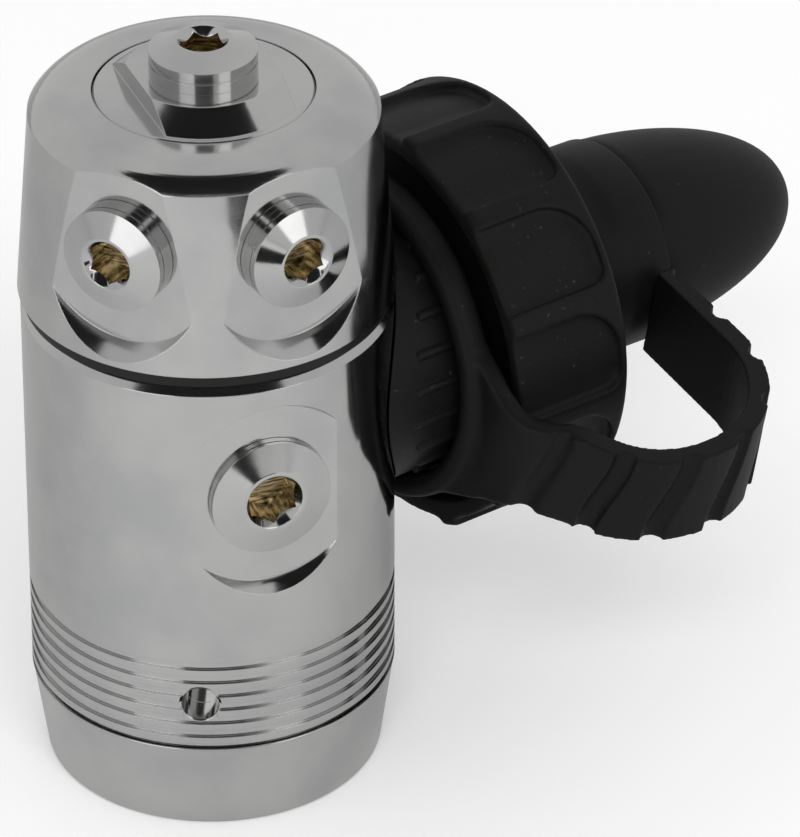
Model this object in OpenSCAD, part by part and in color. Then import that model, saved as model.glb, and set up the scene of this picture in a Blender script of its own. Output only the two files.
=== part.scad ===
// Diving regulator first stage: a balanced-diaphragm valve in a round chromed body, with a
// swivelling port turret on top, a screw-in cylinder coupling with its handwheel at the
// side, and a rubber dust cap held by a strap. Millimetres.
// The origin is the centre of the flat bottom. +Z is up, +X runs along the inlet to the cap.

/* [Main body] */
// Diameter of the main body
body_d = 44; // [43:0.5:48]
// Height of the main body's visible part
body_h = 38.3; // [37.5:0.1:44]
// Bevel round the body's top edge
body_bevel = 1.2; // [0.6:0.1:1.6]
// Depth of the inlet's axis under the body's top edge
inlet_drop = 14.4; // [13.4:0.1:15]
// Depth of the flat for the inlet stem, under the body's surface
inlet_flat_depth = 3; // [2.8:0.1:3.6]
// Diameter of the high-pressure chamber
chamber_d = 12.4; // [10.5:0.1:13]
// Height of the high-pressure chamber
chamber_h = 11.5; // [10.5:0.1:12.5]
// Diameter of the passages between the intermediate-pressure chambers
passage_d = 3.2; // [2:0.1:3.4]

/* [Diaphragm clamp] */
// Height of the grooved clamp under the body
clamp_h = 24.3; // [24:0.1:28]
// How much the foot draws in
foot_taper = 1.6; // [1:0.1:2.4]
// Rounding of the foot's edge
foot_round = 0.7; // [0.4:0.1:1.2]
// Width of the flat rim that the regulator stands on
foot_rim = 3.6; // [3:0.1:4]
// How far the tapered foot reaches above the lowest groove's lower edge
taper_reach = 0.33; // [-3:0.01:0.5]
// Number of grip grooves
groove_count = 7; // [4:1:7]
// Distance between two grooves
groove_pitch = 1.93; // [1.5:0.01:2]
// Width of a groove
groove_w = 1.05; // [0.6:0.05:1.2]
// Depth of a groove
groove_depth = 0.35; // [0.2:0.05:0.6]
// Depth of the pin-spanner holes under the clamp's top edge
spanner_drop = 6.1; // [4:0.1:7.5]
// Diameter of the pin-spanner holes
spanner_d = 4.5; // [3.5:0.1:5]
// Depth of the pin-spanner holes
spanner_depth = 4; // [3:0.1:5]
// Direction of the first pin-spanner hole, from the inlet
spanner_turn = -129; // [-135:1:-125]
// Length of the thread that screws into the body
clamp_thread_l = 6.2; // [5:0.1:8]
// Wall of the body round that thread
body_wall = 3.5; // [2.8:0.1:4.5]
// Diameter of the spring chamber
spring_room_d = 24; // [23:0.1:26]

/* [Diaphragm and valve] */
// Thickness of the main diaphragm
diaphragm_t = 1.6; // [1:0.1:2]
// Opening of the valve at rest
valve_lift = 0.8; // [0.5:0.1:1]
// Wire of the main spring
spring_wire = 2.4; // [1.8:0.1:2.6]
// Mean diameter of the main spring
spring_d = 17.2; // [16.4:0.1:18]
// Turns of the main spring
spring_turns = 4.2; // [3:0.1:4.5]
// Wire of the valve's return spring
return_wire = 0.9; // [0.6:0.1:1]
// Turns of the return spring
return_turns = 2.5; // [2:0.1:3]
// Diameter of the valve stem
stem_d = 3.8; // [3.2:0.1:4]
// Bore through the valve seat
orifice_d = 4.2; // [3.4:0.1:4.4]
// Thickness of the stiffening cap's threaded ring at the bottom
end_cap_h = 4; // [3:0.1:4.4]
// Opening in that ring
end_cap_opening_d = 16; // [12:0.5:18]
// How far the end cap stands back from the foot
end_cap_inset = 0.6; // [0.4:0.1:1]

/* [Turret] */
// How far the turret's foot stands out past the body
turret_proud = 0.3; // [0.1:0.1:0.6]
// How much the turret draws in up to its shoulder
turret_draft = 1.8; // [1.4:0.1:2]
// Height of the turret
turret_h = 26; // [25.6:0.1:28]
// Radius of the rounded shoulder
shoulder_r = 6; // [4.5:0.1:6.4]
// Swivel: direction midway between the two front ports
turret_turn = -124.5; // [-130:0.5:-120]
// Angle from that direction to each port of a pair
port_spread = 30; // [27:1:34]
// Height of the port axes over the turret's foot
low_rise = 14.1; // [13.5:0.1:14.6]
// Depth of the port flats, under the turret's foot
low_flat_depth = 2.6; // [2.3:0.05:2.9]
// Diameter of the round face cut at each port
low_face_d = 23; // [21:0.5:24]
// Thickness of the swivel washer
washer_t = 1.25; // [1:0.05:1.5]
// How far the washer stands back from the body's side
washer_inset = 0.3; // [0.1:0.1:1]
// Width of the ledge round the body's spigot, which carries the washer
ledge_w = 4.5; // [4:0.1:5]
// Height of that spigot
spigot_h = 4.4; // [4.2:0.1:5.4]
// Diameter of the retainer's round head
retainer_d = 25.9; // [25:0.1:27]
// Diameter at the foot of the retainer's raised centre
boss_foot_d = 24.2; // [23:0.1:24.6]
// Diameter of the raised centre's top
boss_top_d = 18.2; // [17:0.1:19]
// Height of the raised centre
boss_h = 2.5; // [2:0.1:3.2]
// Width across the retainer's wrench flats
boss_flats = 16; // [15:0.1:16.8]
// Direction of the wrench flats
boss_turn = -104.5; // [-120:0.5:-90]
// Diameter of the retainer's stem
retainer_stem_d = 16; // [15:0.1:17]
// Room for the gas round that stem
gas_room = 4; // [3:0.1:4.4]
// Bore of the retainer
retainer_bore_d = 8; // [6:0.1:8.4]

/* [Port plugs] */
// Diameter of a low-pressure plug's head
low_head_d = 12.7; // [12.2:0.1:13.2]
// Height of that head's straight side
low_head_h = 2; // [1.6:0.1:3]
// Height of the top plug's straight side
top_head_h = 2.7; // [2:0.1:3.2]
// Height of these heads' bevel
low_bevel_h = 1.2; // [0.9:0.1:1.6]
// Diameter of these heads' face
low_top_d = 6.9; // [6.7:0.1:8.4]
// Low-pressure thread, 3/8-24
low_thread_d = 9.52; // [9:0.01:9.6]
// Hex socket of a low-pressure plug, across flats
low_hex = 4.76; // [4:0.01:5]
// Diameter of a high-pressure plug's head
high_head_d = 14.7; // [14:0.1:15.2]
// Height of that head's straight side
high_head_h = 0.9; // [0.8:0.1:2]
// Height of that head's bevel
high_bevel_h = 1.1; // [0.8:0.1:1.6]
// Diameter of that head's face
high_top_d = 8; // [7.8:0.1:9.6]
// High-pressure thread, 7/16-20
high_thread_d = 11.1; // [10.6:0.05:11.2]
// Hex socket of a high-pressure plug, across flats
high_hex = 5.56; // [5:0.01:6]
// Direction of the high-pressure ports, to each side of the inlet
high_turn = 105; // [100:1:112]
// Height of the high-pressure ports under the inlet's axis
high_drop = 2; // [0:0.1:2.5]
// Depth of the high-pressure port flats under the body's surface
high_flat_depth = 1.7; // [1.5:0.05:2]
// Diameter of the round face cut there
high_face_d = 23.6; // [22:0.2:24]
// Countersink round each hex socket, wider than the socket by
socket_bevel = 0.3; // [0.1:0.05:0.4]

/* [Inlet coupling] */
// Thread of the stem in the body
stem_thread_d = 13.9; // [13:0.1:14.2]
// Length of that thread and its neck
stem_thread_l = 9.5; // [9:0.1:10]
// Diameter of the stem's flange
flange_d = 20.6; // [19.8:0.1:21]
// Diameter of the stem's plain shank
shank_d = 16; // [15:0.1:16.4]
// Bore of the stem
stem_bore_d = 6.4; // [5:0.1:7]
// Diameter of the stem's sealing nose
nose_d = 19.4; // [19:0.1:19.8]
// Length of the sealing nose
nose_l = 4.6; // [4.4:0.1:5.2]
// Coupling thread, G 5/8
coupling_thread_d = 22.91; // [22.5:0.01:23]
// Depth of its thread form
thread_depth = 1.15; // [0.8:0.05:1.2]
// Pitch of its thread form
thread_pitch = 1.814; // [1.5:0.001:2]
// Length of the coupling past the handwheel
coupling_nose_l = 14.6; // [13:0.1:16]
// Diameter of the coupling inside the handwheel
hub_d = 26; // [25:0.1:27]
// Diameter of the handwheel
wheel_d = 52.8; // [50:0.2:54]
// Width of the handwheel
wheel_w = 15.5; // [15:0.1:18]
// Number of finger pockets
pocket_count = 12; // [8:1:12]
// Width of a finger pocket
pocket_w = 10.8; // [8:0.1:11.2]
// Length of a finger pocket from the back face
pocket_l = 14.4; // [13:0.1:14.5]
// Depth of a pocket's flat floor at its middle
pocket_depth = 1.1; // [0.6:0.1:1.4]
// Large corner radius of a pocket
pocket_big_r = 6; // [4:0.1:7]
// Small corner radius of a pocket
pocket_small_r = 2; // [1:0.1:3]
// Rotation of the pocket pattern
pocket_turn = 24.3; // [0:0.1:30]
// Depth of the recess in the wheel's back
wheel_recess = 2.5; // [1:0.1:4]
// Rounding of the wheel's edges
wheel_round = 0.8; // [0.5:0.1:0.9]

/* [Collar] */
// Diameter of the saddle collar on the inlet
collar_d = 35; // [33:0.1:35.4]
// Height of a grip rib on the collar
rib_h = 0.5; // [0.3:0.05:0.6]
// Number of grip ribs round the collar
rib_count = 25; // [16:1:28]
// Width of a grip rib
rib_w = 1.3; // [0.8:0.1:2]
// Place of the first rib, round the inlet
rib_turn = 4.2; // [0:0.1:14]
// How far the ribs stop short of the body
rib_setback = 1.2; // [0.6:0.1:2]

/* [Dust cap] */
// Width of the strap's ring
ring_w = 3.9; // [3.5:0.1:5]
// Thickness of the strap's ring
ring_t = 3; // [2.4:0.1:3.2]
// Gap between the ring and the metal behind it
ring_gap = 0.4; // [0.4:0.05:0.8]
// Width of the strap
strap_w = 12.6; // [10:0.1:13]
// Width of the strap where it leaves the ring
strap_root_w = 22; // [16:0.5:23]
// Thickness of the strap
strap_t = 2.6; // [2:0.1:2.8]
// Direction of the strap, down from the outward horizontal
strap_turn = -12; // [-20:1:0]
// Rise of the strap's hinge end over the inlet's axis
strap_knee_r = 26.9; // [26.9:0.1:29]
// Radius of the strap's loop, at its middle
strap_loop_r = 14.4; // [13.5:0.1:15]
// Slope of the strap towards its loop
strap_slope = 54; // [50:1:56]
// Number of grip grooves across the strap's loop
strap_groove_count = 5; // [3:1:6]
// Depth of those grooves
strap_groove_depth = 0.7; // [0.3:0.1:1]
// Outer diameter of the cap's barrel
cap_d = 26.2; // [25.8:0.1:27]
// Outer diameter of the cap's mouth lip
cap_lip_d = 27.6; // [27:0.1:29]
// Width of the mouth lip
cap_lip_w = 3.5; // [2.5:0.1:4.5]
// Length of the cap's barrel, from its mouth to the seam
cap_barrel_l = 15.6; // [15:0.1:18]
// Length of the cap's nose, from the seam to its tip
cap_nose_l = 27.1; // [25:0.1:32]
// Step of the seam between barrel and nose
cap_seam = 0.3; // [0.2:0.05:0.6]
// Wall of the cap's nose
cap_wall = 2.2; // [1.6:0.1:2.6]
// Gap between the wheel and the cap's mouth
cap_gap = 1.3; // [0.8:0.1:2]

/* [Fits] */
// Radial clearance of fixed parts and threads
fit = 0.05; // [0.04:0.01:0.1]
// Radial clearance of parts that turn or slide
running = 0.08; // [0.05:0.01:0.1]
// End play between turning and fixed faces
end_play = 0.4; // [0.3:0.05:0.6]
// Clearance of soft parts
soft_gap = 0.3; // [0.2:0.05:0.4]

/* [Hidden] */
$fn = 96;

// Heights of the stack, from the bottom up
body_r = body_d / 2;
foot_r = body_r - foot_taper;
taper_h = clamp_h - (groove_count - 1) * groove_pitch - groove_w + taper_reach;
spanner_z = clamp_h - spanner_drop;
clamp_thread_r = body_r - body_wall;
spigot_r = body_r - ledge_w;
washer_r = body_r - washer_inset;
turret_r = body_r + turret_proud;
low_flat = turret_r - low_flat_depth;
top_z = clamp_h + body_h;
washer_top = top_z + washer_t;
swivel_play = fit;
turret_z = washer_top + swivel_play;
turret_top = turret_z + turret_h;
inlet_z = top_z - inlet_drop;
low_port_z = turret_z + low_rise;
high_port_z = inlet_z - high_drop;
spigot_top = top_z + spigot_h;

// Diaphragm, its chamber and the seat
moving_gap = 0.8;
diaphragm_z = clamp_h + clamp_thread_l;
diaphragm_top = diaphragm_z + diaphragm_t;
diaphragm_rim = 4;
ip_r = clamp_thread_r - diaphragm_rim;
ip_h = 3.4;
ip_top = diaphragm_top + ip_h;
lifter_t = 1.5;
chamber_low = inlet_z - chamber_h * 0.62;
chamber_high = chamber_low + chamber_h;
chamber_r = chamber_d / 2;
seat_wall = 2;
seat_r = orifice_d / 2 + seat_wall;
seat_flange_h = 1;
crown_h = 0.6;
crown_z = chamber_low + seat_flange_h + crown_h;
pad_z = crown_z + valve_lift;
pin_r = 1;

// Valve, balance plug and the thread of the swivel retainer
pad_r = 3.4;
pad_t = 1;
poppet_r = 4.2;
poppet_head_h = 3;
poppet_bevel = 0.8;
poppet_top = pad_z + poppet_head_h;
plug_r = 8;
plug_h = 6;
plug_top = chamber_high + plug_h;
stem_engaged = 2.8;
stem_top = chamber_high + stem_engaged;
balance_room = 0.8;
thread_room = 1;
thread_lead = 0.6;
retainer_thread_r = 9.5;
retainer_low = plug_top + end_play;
passage_place = (retainer_thread_r + spigot_r) / 2 - 1;
passage_turns = [168, 192];

// Turret, its inner chamber and its retainer
turret_bore_r = spigot_r + running;
gallery_r = passage_place + passage_d / 2 + thread_room;
gallery_h = 2.4;
seal_w = 2;
seal_depth = 1.7;
seal_tube_r = 0.86;
spigot_ring_z = washer_top + 1.3;
low_room_r = retainer_stem_d / 2 + gas_room;
roof_t = 5.9;
roof_z = turret_top - roof_t;
head_t = 3.9;
head_z = turret_top - head_t;
land_r = retainer_thread_r;
land_ring_z = roof_z + 0.95;
land_w = 1.6;
land_depth = 1.5;
land_tube_r = 0.74;
gas_hole_d = 4;
land_lead = 0.4;
edge = 0.3;
boss_top = turret_top + boss_h;
port_turns = [turret_turn - port_spread, turret_turn + port_spread,
              turret_turn + 180 - port_spread, turret_turn + 180 + port_spread];
shoulder_angle = 33;
shoulder_x = turret_r - turret_draft - shoulder_r * cos(shoulder_angle);
face_slope = 0.62;
face_cut = 8;

// Plugs: each has a necked thread, an O-ring on the neck and a fine line round its head
low_thread_l = 6.5;
high_thread_l = 8;
plug_neck_l = 1.9;
neck_cut = 0.9;
ring_tube_r = 0.88;
ring_seat = 1.1;
ring_slack = 0.02;
seam_w = 0.16;
seam_depth = 0.14;
high_passage_d = 3;
high_flat = body_r - high_flat_depth;

// Inlet stations, along +X
inlet_flat = body_r - inlet_flat_depth;
ring_back = max(body_r + end_play, turret_r) + ring_gap;
ring_front = ring_back + ring_w;
collar_front = ring_front - 0.2;
pilot_w = 2.5;
pilot_r = flange_d / 2 - 1.8;
hub_back = collar_front + end_play;
wheel_back = ring_front + 0.6;
wheel_front = wheel_back + wheel_w;
coupling_front = wheel_front + coupling_nose_l;
nose_back = coupling_front + end_play;
nose_front = nose_back + nose_l;
nose_bevel = 0.5;
wheel_r = wheel_d / 2;
hub_r = hub_d / 2;
collar_r = collar_d / 2;
ring_r = collar_r + rib_h + soft_gap;

// Dust cap
cap_mouth = wheel_front + cap_gap;
cap_seam_x = cap_mouth + cap_barrel_l;
cap_tip = cap_seam_x + cap_nose_l;
cap_r = cap_d / 2;
cap_nose_r = cap_r - cap_seam;
cap_bore_r = coupling_thread_d / 2 + soft_gap;
cap_room_r = nose_d / 2 + soft_gap + nose_bevel;

// Strap: its loop is centred over the wheel and runs down to the cap's barrel
strap_x = (ring_back + ring_front) / 2 + 0.55;
strap_foot = 2.1;
loop_end_x = cap_seam_x - strap_foot;
loop_x = loop_end_x - strap_loop_r;
slope_x = loop_x - strap_loop_r * sin(strap_slope);
loop_rise = strap_knee_r + (slope_x - strap_x) * tan(strap_slope) - strap_loop_r * cos(strap_slope);
knee_r = 8;
knee_turn = 90 - strap_slope;
knee_run = knee_r * tan(knee_turn / 2);

// A point at distance r and angle a from [x, y]
function polar(x, y, r, a) = [x + r * cos(a), y + r * sin(a)];
// Points along an arc, from angle a0 to a1
function arc(x, y, r, a0, a1, steps) = [for (i = [0:steps]) polar(x, y, r, a0 + (a1 - a0) * i / steps)];

// A solid of revolution from [radius, height] points
module turned(points) rotate_extrude() polygon(points);

// Sets a module's +Z pointing outwards from the vertical axis
module facing(turn, height) translate([0, 0, height]) rotate([0, 0, turn]) rotate([0, 90, 0]) children();

// Sets a module's +Z along the inlet
module on_inlet() facing(0, inlet_z) children();

// Turns a module that points along +X of on_inlet() to an angle round the inlet, counted
// upwards from the horizontal on the -Y side
module round_inlet(angle) rotate([0, 0, -90 - angle]) children();

// An O-ring lying flat
module oring(ring_mean_r, tube_r) rotate_extrude() translate([ring_mean_r, 0]) circle(tube_r, $fn = 24);

// A straight hex socket, cut down from height top
module hex_socket(across_flats, depth, top) translate([0, 0, top - depth])
    cylinder(h = depth + 1, d = across_flats / cos(30), $fn = 6);

// The cut that leaves a flat round face: it widens outwards from height flat
module round_face(face_r, flat) translate([0, 0, flat])
    cylinder(h = face_cut, r1 = face_r, r2 = face_r + face_cut * face_slope);

// A tapped hole with a seat for the plug's O-ring, cut down from the flat
module port(thread_r, seat_bore_r, depth, flat) {
    translate([0, 0, flat - depth]) cylinder(h = depth + 1, r = thread_r + running);
    translate([0, 0, flat - plug_neck_l]) cylinder(h = plug_neck_l + 1, r = seat_bore_r);
}

// A port plug standing on height 0
module plug(head_r, head_h, bevel_h, top_r, thread_r, thread_l, hex) {
    neck_r = thread_r - neck_cut;
    top = head_h + bevel_h;
    socket_r = hex / 2 / cos(30) + socket_bevel;
    difference() {
        turned([[0, -thread_l], [thread_r - thread_lead, -thread_l], [thread_r, -thread_l + thread_lead],
                [thread_r, -plug_neck_l], [neck_r, -plug_neck_l], [neck_r, 0],
                [head_r, 0], [head_r, head_h / 2 - seam_w], [head_r - seam_depth, head_h / 2],
                [head_r, head_h / 2 + seam_w], [head_r, head_h], [top_r, top], [0, top]]);
        hex_socket(hex, hex * 0.8, top);
        translate([0, 0, top - socket_r * 0.35])
            cylinder(h = socket_r * 0.35 + 0.01, r1 = hex / 2, r2 = socket_r + 0.01);
    }
}

module low_pressure_plug(head_h = low_head_h) plug(low_head_d / 2, head_h, low_bevel_h,
                      low_top_d / 2, low_thread_d / 2, low_thread_l, low_hex);

module high_pressure_plug() plug(high_head_d / 2, high_head_h, high_bevel_h, high_top_d / 2,
                      high_thread_d / 2, high_thread_l, high_hex);

// The O-ring under a plug's head
module plug_oring(thread_r) translate([0, 0, -plug_neck_l / 2])
    oring(thread_r - neck_cut + ring_tube_r + ring_slack, ring_tube_r);

// A coil spring from height low to high, as one unbroken tube
module coil(mean_r, wire_r, turns, low, high, sides = 8, per_turn = 20) {
    count = ceil(turns * per_turn);
    span = high - low - 2 * wire_r;
    function ring(i) = let (a = 360 * turns * i / count, z = low + wire_r + span * i / count)
        [for (k = [0:sides - 1]) let (r = mean_r + wire_r * cos(360 * k / sides))
            [r * cos(a), r * sin(a), z + wire_r * sin(360 * k / sides)]];
    corners = [for (i = [0:count]) each ring(i)];
    sides_up = [for (i = [0:count - 1], k = [0:sides - 1])
        let (a = i * sides + k, b = i * sides + (k + 1) % sides)
        each [[a, a + sides, b], [b, a + sides, b + sides]]];
    first = [for (k = [1:sides - 2]) [0, k, k + 1]];
    last = [for (k = [1:sides - 2]) [count * sides, count * sides + k + 1, count * sides + k]];
    polyhedron(corners, concat(sides_up, first, last));
}

// Body: a turned block with the valve's bores through it, a spigot for the turret, and
// tapped ports at the side
module main_body() color("silver") difference() {
    turned([[0, clamp_h], [body_r, clamp_h], [body_r, top_z - body_bevel],
            [body_r - body_bevel, top_z], [spigot_r, top_z], [spigot_r, spigot_ring_z - seal_w / 2],
            [spigot_r - seal_depth, spigot_ring_z - seal_w / 2],
            [spigot_r - seal_depth, spigot_ring_z + seal_w / 2], [spigot_r, spigot_ring_z + seal_w / 2],
            [spigot_r, spigot_top], [0, spigot_top]]);
    turned([[0, clamp_h - 1], [clamp_thread_r, clamp_h - 1], [clamp_thread_r, diaphragm_top],
            [ip_r, diaphragm_top], [ip_r, ip_top], [seat_r, ip_top], [seat_r, chamber_low],
            [chamber_r, chamber_low], [chamber_r, chamber_high], [plug_r, chamber_high], [plug_r, plug_top],
            [retainer_thread_r + fit, plug_top], [retainer_thread_r + fit, spigot_top + 1],
            [0, spigot_top + 1]]);
    for (turn = passage_turns) rotate([0, 0, turn]) translate([passage_place, 0, ip_top - 1])
        cylinder(h = spigot_top - ip_top + 2, d = passage_d);
    on_inlet() {
        round_face(flange_d / 2 + soft_gap, inlet_flat);
        port(stem_thread_d / 2, stem_thread_d / 2 + ring_seat, stem_thread_l, inlet_flat);
        cylinder(h = inlet_flat, d = stem_bore_d);
    }
    for (side = [-1, 1]) facing(side * high_turn, high_port_z) {
        round_face(high_face_d / 2, high_flat);
        port(high_thread_d / 2, high_thread_d / 2 + ring_seat, high_thread_l + thread_room, high_flat);
        cylinder(h = high_flat, d = high_passage_d);
    }
}

// Clamp: screws up into the body and holds the main diaphragm's rim
module diaphragm_clamp() color("silver") difference() {
    groove_r = body_r - groove_depth;
    turned(concat(
        [[0, 0]],
        arc(foot_r - foot_round, foot_round, foot_round, -90, 0, 6),
        [[body_r, taper_h]],
        [for (i = [groove_count - 1:-1:0]) let (z = clamp_h - i * groove_pitch) each [
            [body_r, z - groove_w], [groove_r, z - groove_w], [groove_r, z],
            if (i > 0) [body_r, z]]],
        [[clamp_thread_r - fit, clamp_h], [clamp_thread_r - fit, diaphragm_z], [0, diaphragm_z]]
    ));
    turned([[0, -1], [end_thread_r + fit, -1], [end_thread_r + fit, ledge_z],
            [spring_room_d / 2, ledge_z], [spring_room_d / 2, diaphragm_z + 1], [0, diaphragm_z + 1]]);
    for (turn = [0, 180]) facing(spanner_turn + turn, spanner_z) {
        translate([0, 0, body_r - spanner_depth]) cylinder(h = spanner_depth + 1, d = spanner_d);
        translate([0, 0, body_r - spanner_rim]) cylinder(h = spanner_rim + 0.01, d1 = spanner_d,
                                                         d2 = spanner_d + 2 * spanner_rim);
    }
}
spanner_rim = 0.5;
end_thread_r = foot_r - foot_rim;
membrane_t = 1;
ledge_z = end_cap_inset + end_cap_h + membrane_t;

// End cap: a threaded ring that closes the bottom and lets the water press on the membrane
module end_cap() color("silver") difference() {
    translate([0, 0, end_cap_inset]) cylinder(h = end_cap_h, r = end_thread_r);
    translate([0, 0, end_cap_inset - 1]) cylinder(h = end_cap_h + 2, d = end_cap_opening_d);
    for (turn = [0, 180]) rotate([0, 0, turn]) translate([(end_cap_opening_d / 2 + end_thread_r) / 2, 0, 0])
        cylinder(h = end_cap_inset + end_cap_h / 2, d = end_hole_d);
}
end_hole_d = 3;

// Environmental membrane: a flat rubber disc that keeps the water out of the spring chamber
module environment_diaphragm() color("black")
    translate([0, 0, ledge_z - membrane_t]) cylinder(h = membrane_t, r = end_thread_r - soft_gap);

// Load transmitter: passes the water's pressure from the membrane up to the spring pad
module load_transmitter() color("ivory") {
    translate([0, 0, transmitter_z]) cylinder(h = transmitter_t, r = spring_room_d / 2 - 2 * moving_gap);
    translate([0, 0, transmitter_z]) cylinder(h = pad_low - transmitter_z, r = transmitter_r);
}
transmitter_r = 2.4;
transmitter_t = 1.5;
transmitter_z = ledge_z + soft_gap;

// Adjusting screw: sets how hard the main spring presses
module adjusting_screw() color("goldenrod") difference() {
    translate([0, 0, screw_z]) cylinder(h = screw_h, r = spring_room_d / 2 - running);
    translate([0, 0, screw_z - 1]) cylinder(h = screw_h + 2, r = transmitter_r + 2 * moving_gap);
    translate([0, 0, screw_z - 1]) cylinder(h = 1 + screw_hex_depth, d = screw_hex / cos(30), $fn = 6);
}
screw_h = 4;
screw_hex = 12;
screw_hex_depth = 2;
screw_z = transmitter_z + transmitter_t + valve_lift + moving_gap;

// Main spring: holds the valve open against the diaphragm
module main_spring() color("dimgray")
    coil(spring_d / 2, spring_wire / 2, spring_turns, screw_z + screw_h + ring_slack, pad_seat - ring_slack);

// Spring pad: spreads the spring's force over the diaphragm
module spring_pad() color("goldenrod") {
    translate([0, 0, pad_seat]) cylinder(h = diaphragm_z - pad_seat, r = spring_room_d / 2 - moving_gap);
    translate([0, 0, pad_low]) cylinder(h = pad_seat - pad_low, r = (spring_d - spring_wire) / 2 - end_play);
}
spring_pad_t = 1.8;
spring_pilot_h = 1.2;
pad_seat = diaphragm_z - spring_pad_t;
pad_low = pad_seat - spring_pilot_h;

// Main diaphragm: a reinforced rubber disc, clamped round its rim
module main_diaphragm() color("black")
    translate([0, 0, diaphragm_z]) cylinder(h = diaphragm_t, r = clamp_thread_r - fit);

// Valve lifter: a plate on the diaphragm whose pin pushes the poppet off its seat
module valve_lifter() color("goldenrod") {
    translate([0, 0, diaphragm_top]) cylinder(h = lifter_t, r = spring_room_d / 2 - moving_gap);
    translate([0, 0, diaphragm_top]) cylinder(h = pad_z - diaphragm_top, r = pin_r);
}

// Valve seat: a brass insert with a raised crown that the poppet closes on
module valve_seat() color("goldenrod")
    turned([[orifice_d / 2, ip_top + fit], [seat_r - fit, ip_top + fit],
            [seat_r - fit, seat_ring_z - small_seal_w / 2],
            [seat_r - small_seal_depth, seat_ring_z - small_seal_w / 2],
            [seat_r - small_seal_depth, seat_ring_z + small_seal_w / 2],
            [seat_r - fit, seat_ring_z + small_seal_w / 2], [seat_r - fit, chamber_low],
            [seat_r + seat_flange_w, chamber_low], [seat_r + seat_flange_w, chamber_low + seat_flange_h],
            [orifice_d / 2 + 2 * crown_w, chamber_low + seat_flange_h], [orifice_d / 2 + crown_w, crown_z],
            [orifice_d / 2, crown_z]]);
seat_ring_z = (ip_top + chamber_low) / 2;
seat_flange_w = 1.2;
crown_w = 0.5;
small_seal_w = 1.2;
small_seal_depth = 0.9;
small_tube_r = 0.42;

// O-ring round the valve seat
module valve_seat_oring() color("black") translate([0, 0, seat_ring_z])
    oring(seat_r - small_seal_depth / 2, small_tube_r);

// Poppet: the moving half of the valve, guided by its stem in the balance plug
module poppet() color("goldenrod") difference() {
    turned([[0, pad_z], [poppet_r, pad_z], [poppet_r, poppet_top - poppet_bevel],
            [poppet_r - poppet_bevel, poppet_top], [stem_d / 2, poppet_top], [stem_d / 2, stem_top - edge],
            [stem_d / 2 - edge, stem_top], [0, stem_top]]);
    translate([0, 0, pad_z - 1]) cylinder(h = pad_t + 1, r = pad_r + fit);
}

// Plastic pad in the poppet's face
module poppet_pad() color("ivory") translate([0, 0, pad_z]) cylinder(h = pad_t, r = pad_r);

// Return spring: closes the poppet when the diaphragm draws back
module poppet_spring() color("dimgray")
    coil(stem_d / 2 + return_wire / 2 + end_play, return_wire / 2, return_turns, poppet_top + ring_slack,
         chamber_high - ring_slack, 6, 16);

// Balance plug: guides the stem and seals it, so inlet pressure doesn't move the valve
module balance_plug() color("goldenrod") difference() {
    translate([0, 0, chamber_high]) cylinder(h = plug_h, r = plug_r - fit);
    translate([0, 0, chamber_high - 1])
        cylinder(h = 1 + stem_engaged + balance_room, d = stem_d + 2 * running);
    translate([0, 0, balance_ring_z - small_seal_w / 2])
        cylinder(h = small_seal_w, r = stem_d / 2 + running + small_seal_depth);
    translate([0, 0, chamber_high]) cylinder(h = plug_h, d = balance_hole_d);
    hex_socket(balance_hex, balance_hex_depth, plug_top);
}
balance_ring_z = chamber_high + stem_engaged / 2;
balance_hole_d = 1.4;
balance_hex = 6;
balance_hex_depth = 1.6;

// O-ring round the poppet's stem
module balance_oring() color("black") translate([0, 0, balance_ring_z])
    oring(stem_d / 2 + running + small_seal_depth / 2, small_tube_r);

// Swivel washer: the black ring that the turret turns on
module swivel_washer() color("black") difference() {
    translate([0, 0, top_z]) cylinder(h = washer_t, r = washer_r);
    translate([0, 0, top_z - 1]) cylinder(h = washer_t + 2, r = spigot_r + fit);
}

// Turret: turns on the body's spigot and carries the low-pressure ports
module turret() color("silver") difference() {
    turned(concat(
        [[0, turret_z], [turret_r - edge, turret_z], [turret_r, turret_z + edge]],
        arc(shoulder_x, turret_top - shoulder_r, shoulder_r, shoulder_angle, 90, 16),
        [[0, turret_top]]
    ));
    turned([[0, turret_z - 1], [turret_bore_r, turret_z - 1], [turret_bore_r, spigot_top + edge],
            [gallery_r, spigot_top + edge], [gallery_r, spigot_top + gallery_h],
            [low_room_r, spigot_top + gallery_h], [low_room_r, roof_z], [land_r + running, roof_z],
            [land_r + running, head_z], [retainer_d / 2 + running, head_z],
            [retainer_d / 2 + running, turret_top + 1], [0, turret_top + 1]]);
    for (turn = port_turns) facing(turn, low_port_z) {
        round_face(low_face_d / 2, low_flat);
        port(low_thread_d / 2, low_thread_d / 2 + ring_seat, low_flat - low_room_r / 2, low_flat);
    }
}

// The two O-rings that seal the turret
module turret_orings() color("black") {
    translate([0, 0, spigot_ring_z]) oring(spigot_r - seal_depth + seal_tube_r + ring_slack, seal_tube_r);
    translate([0, 0, land_ring_z]) oring(land_r - land_depth + land_tube_r + ring_slack, land_tube_r);
}

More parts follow.
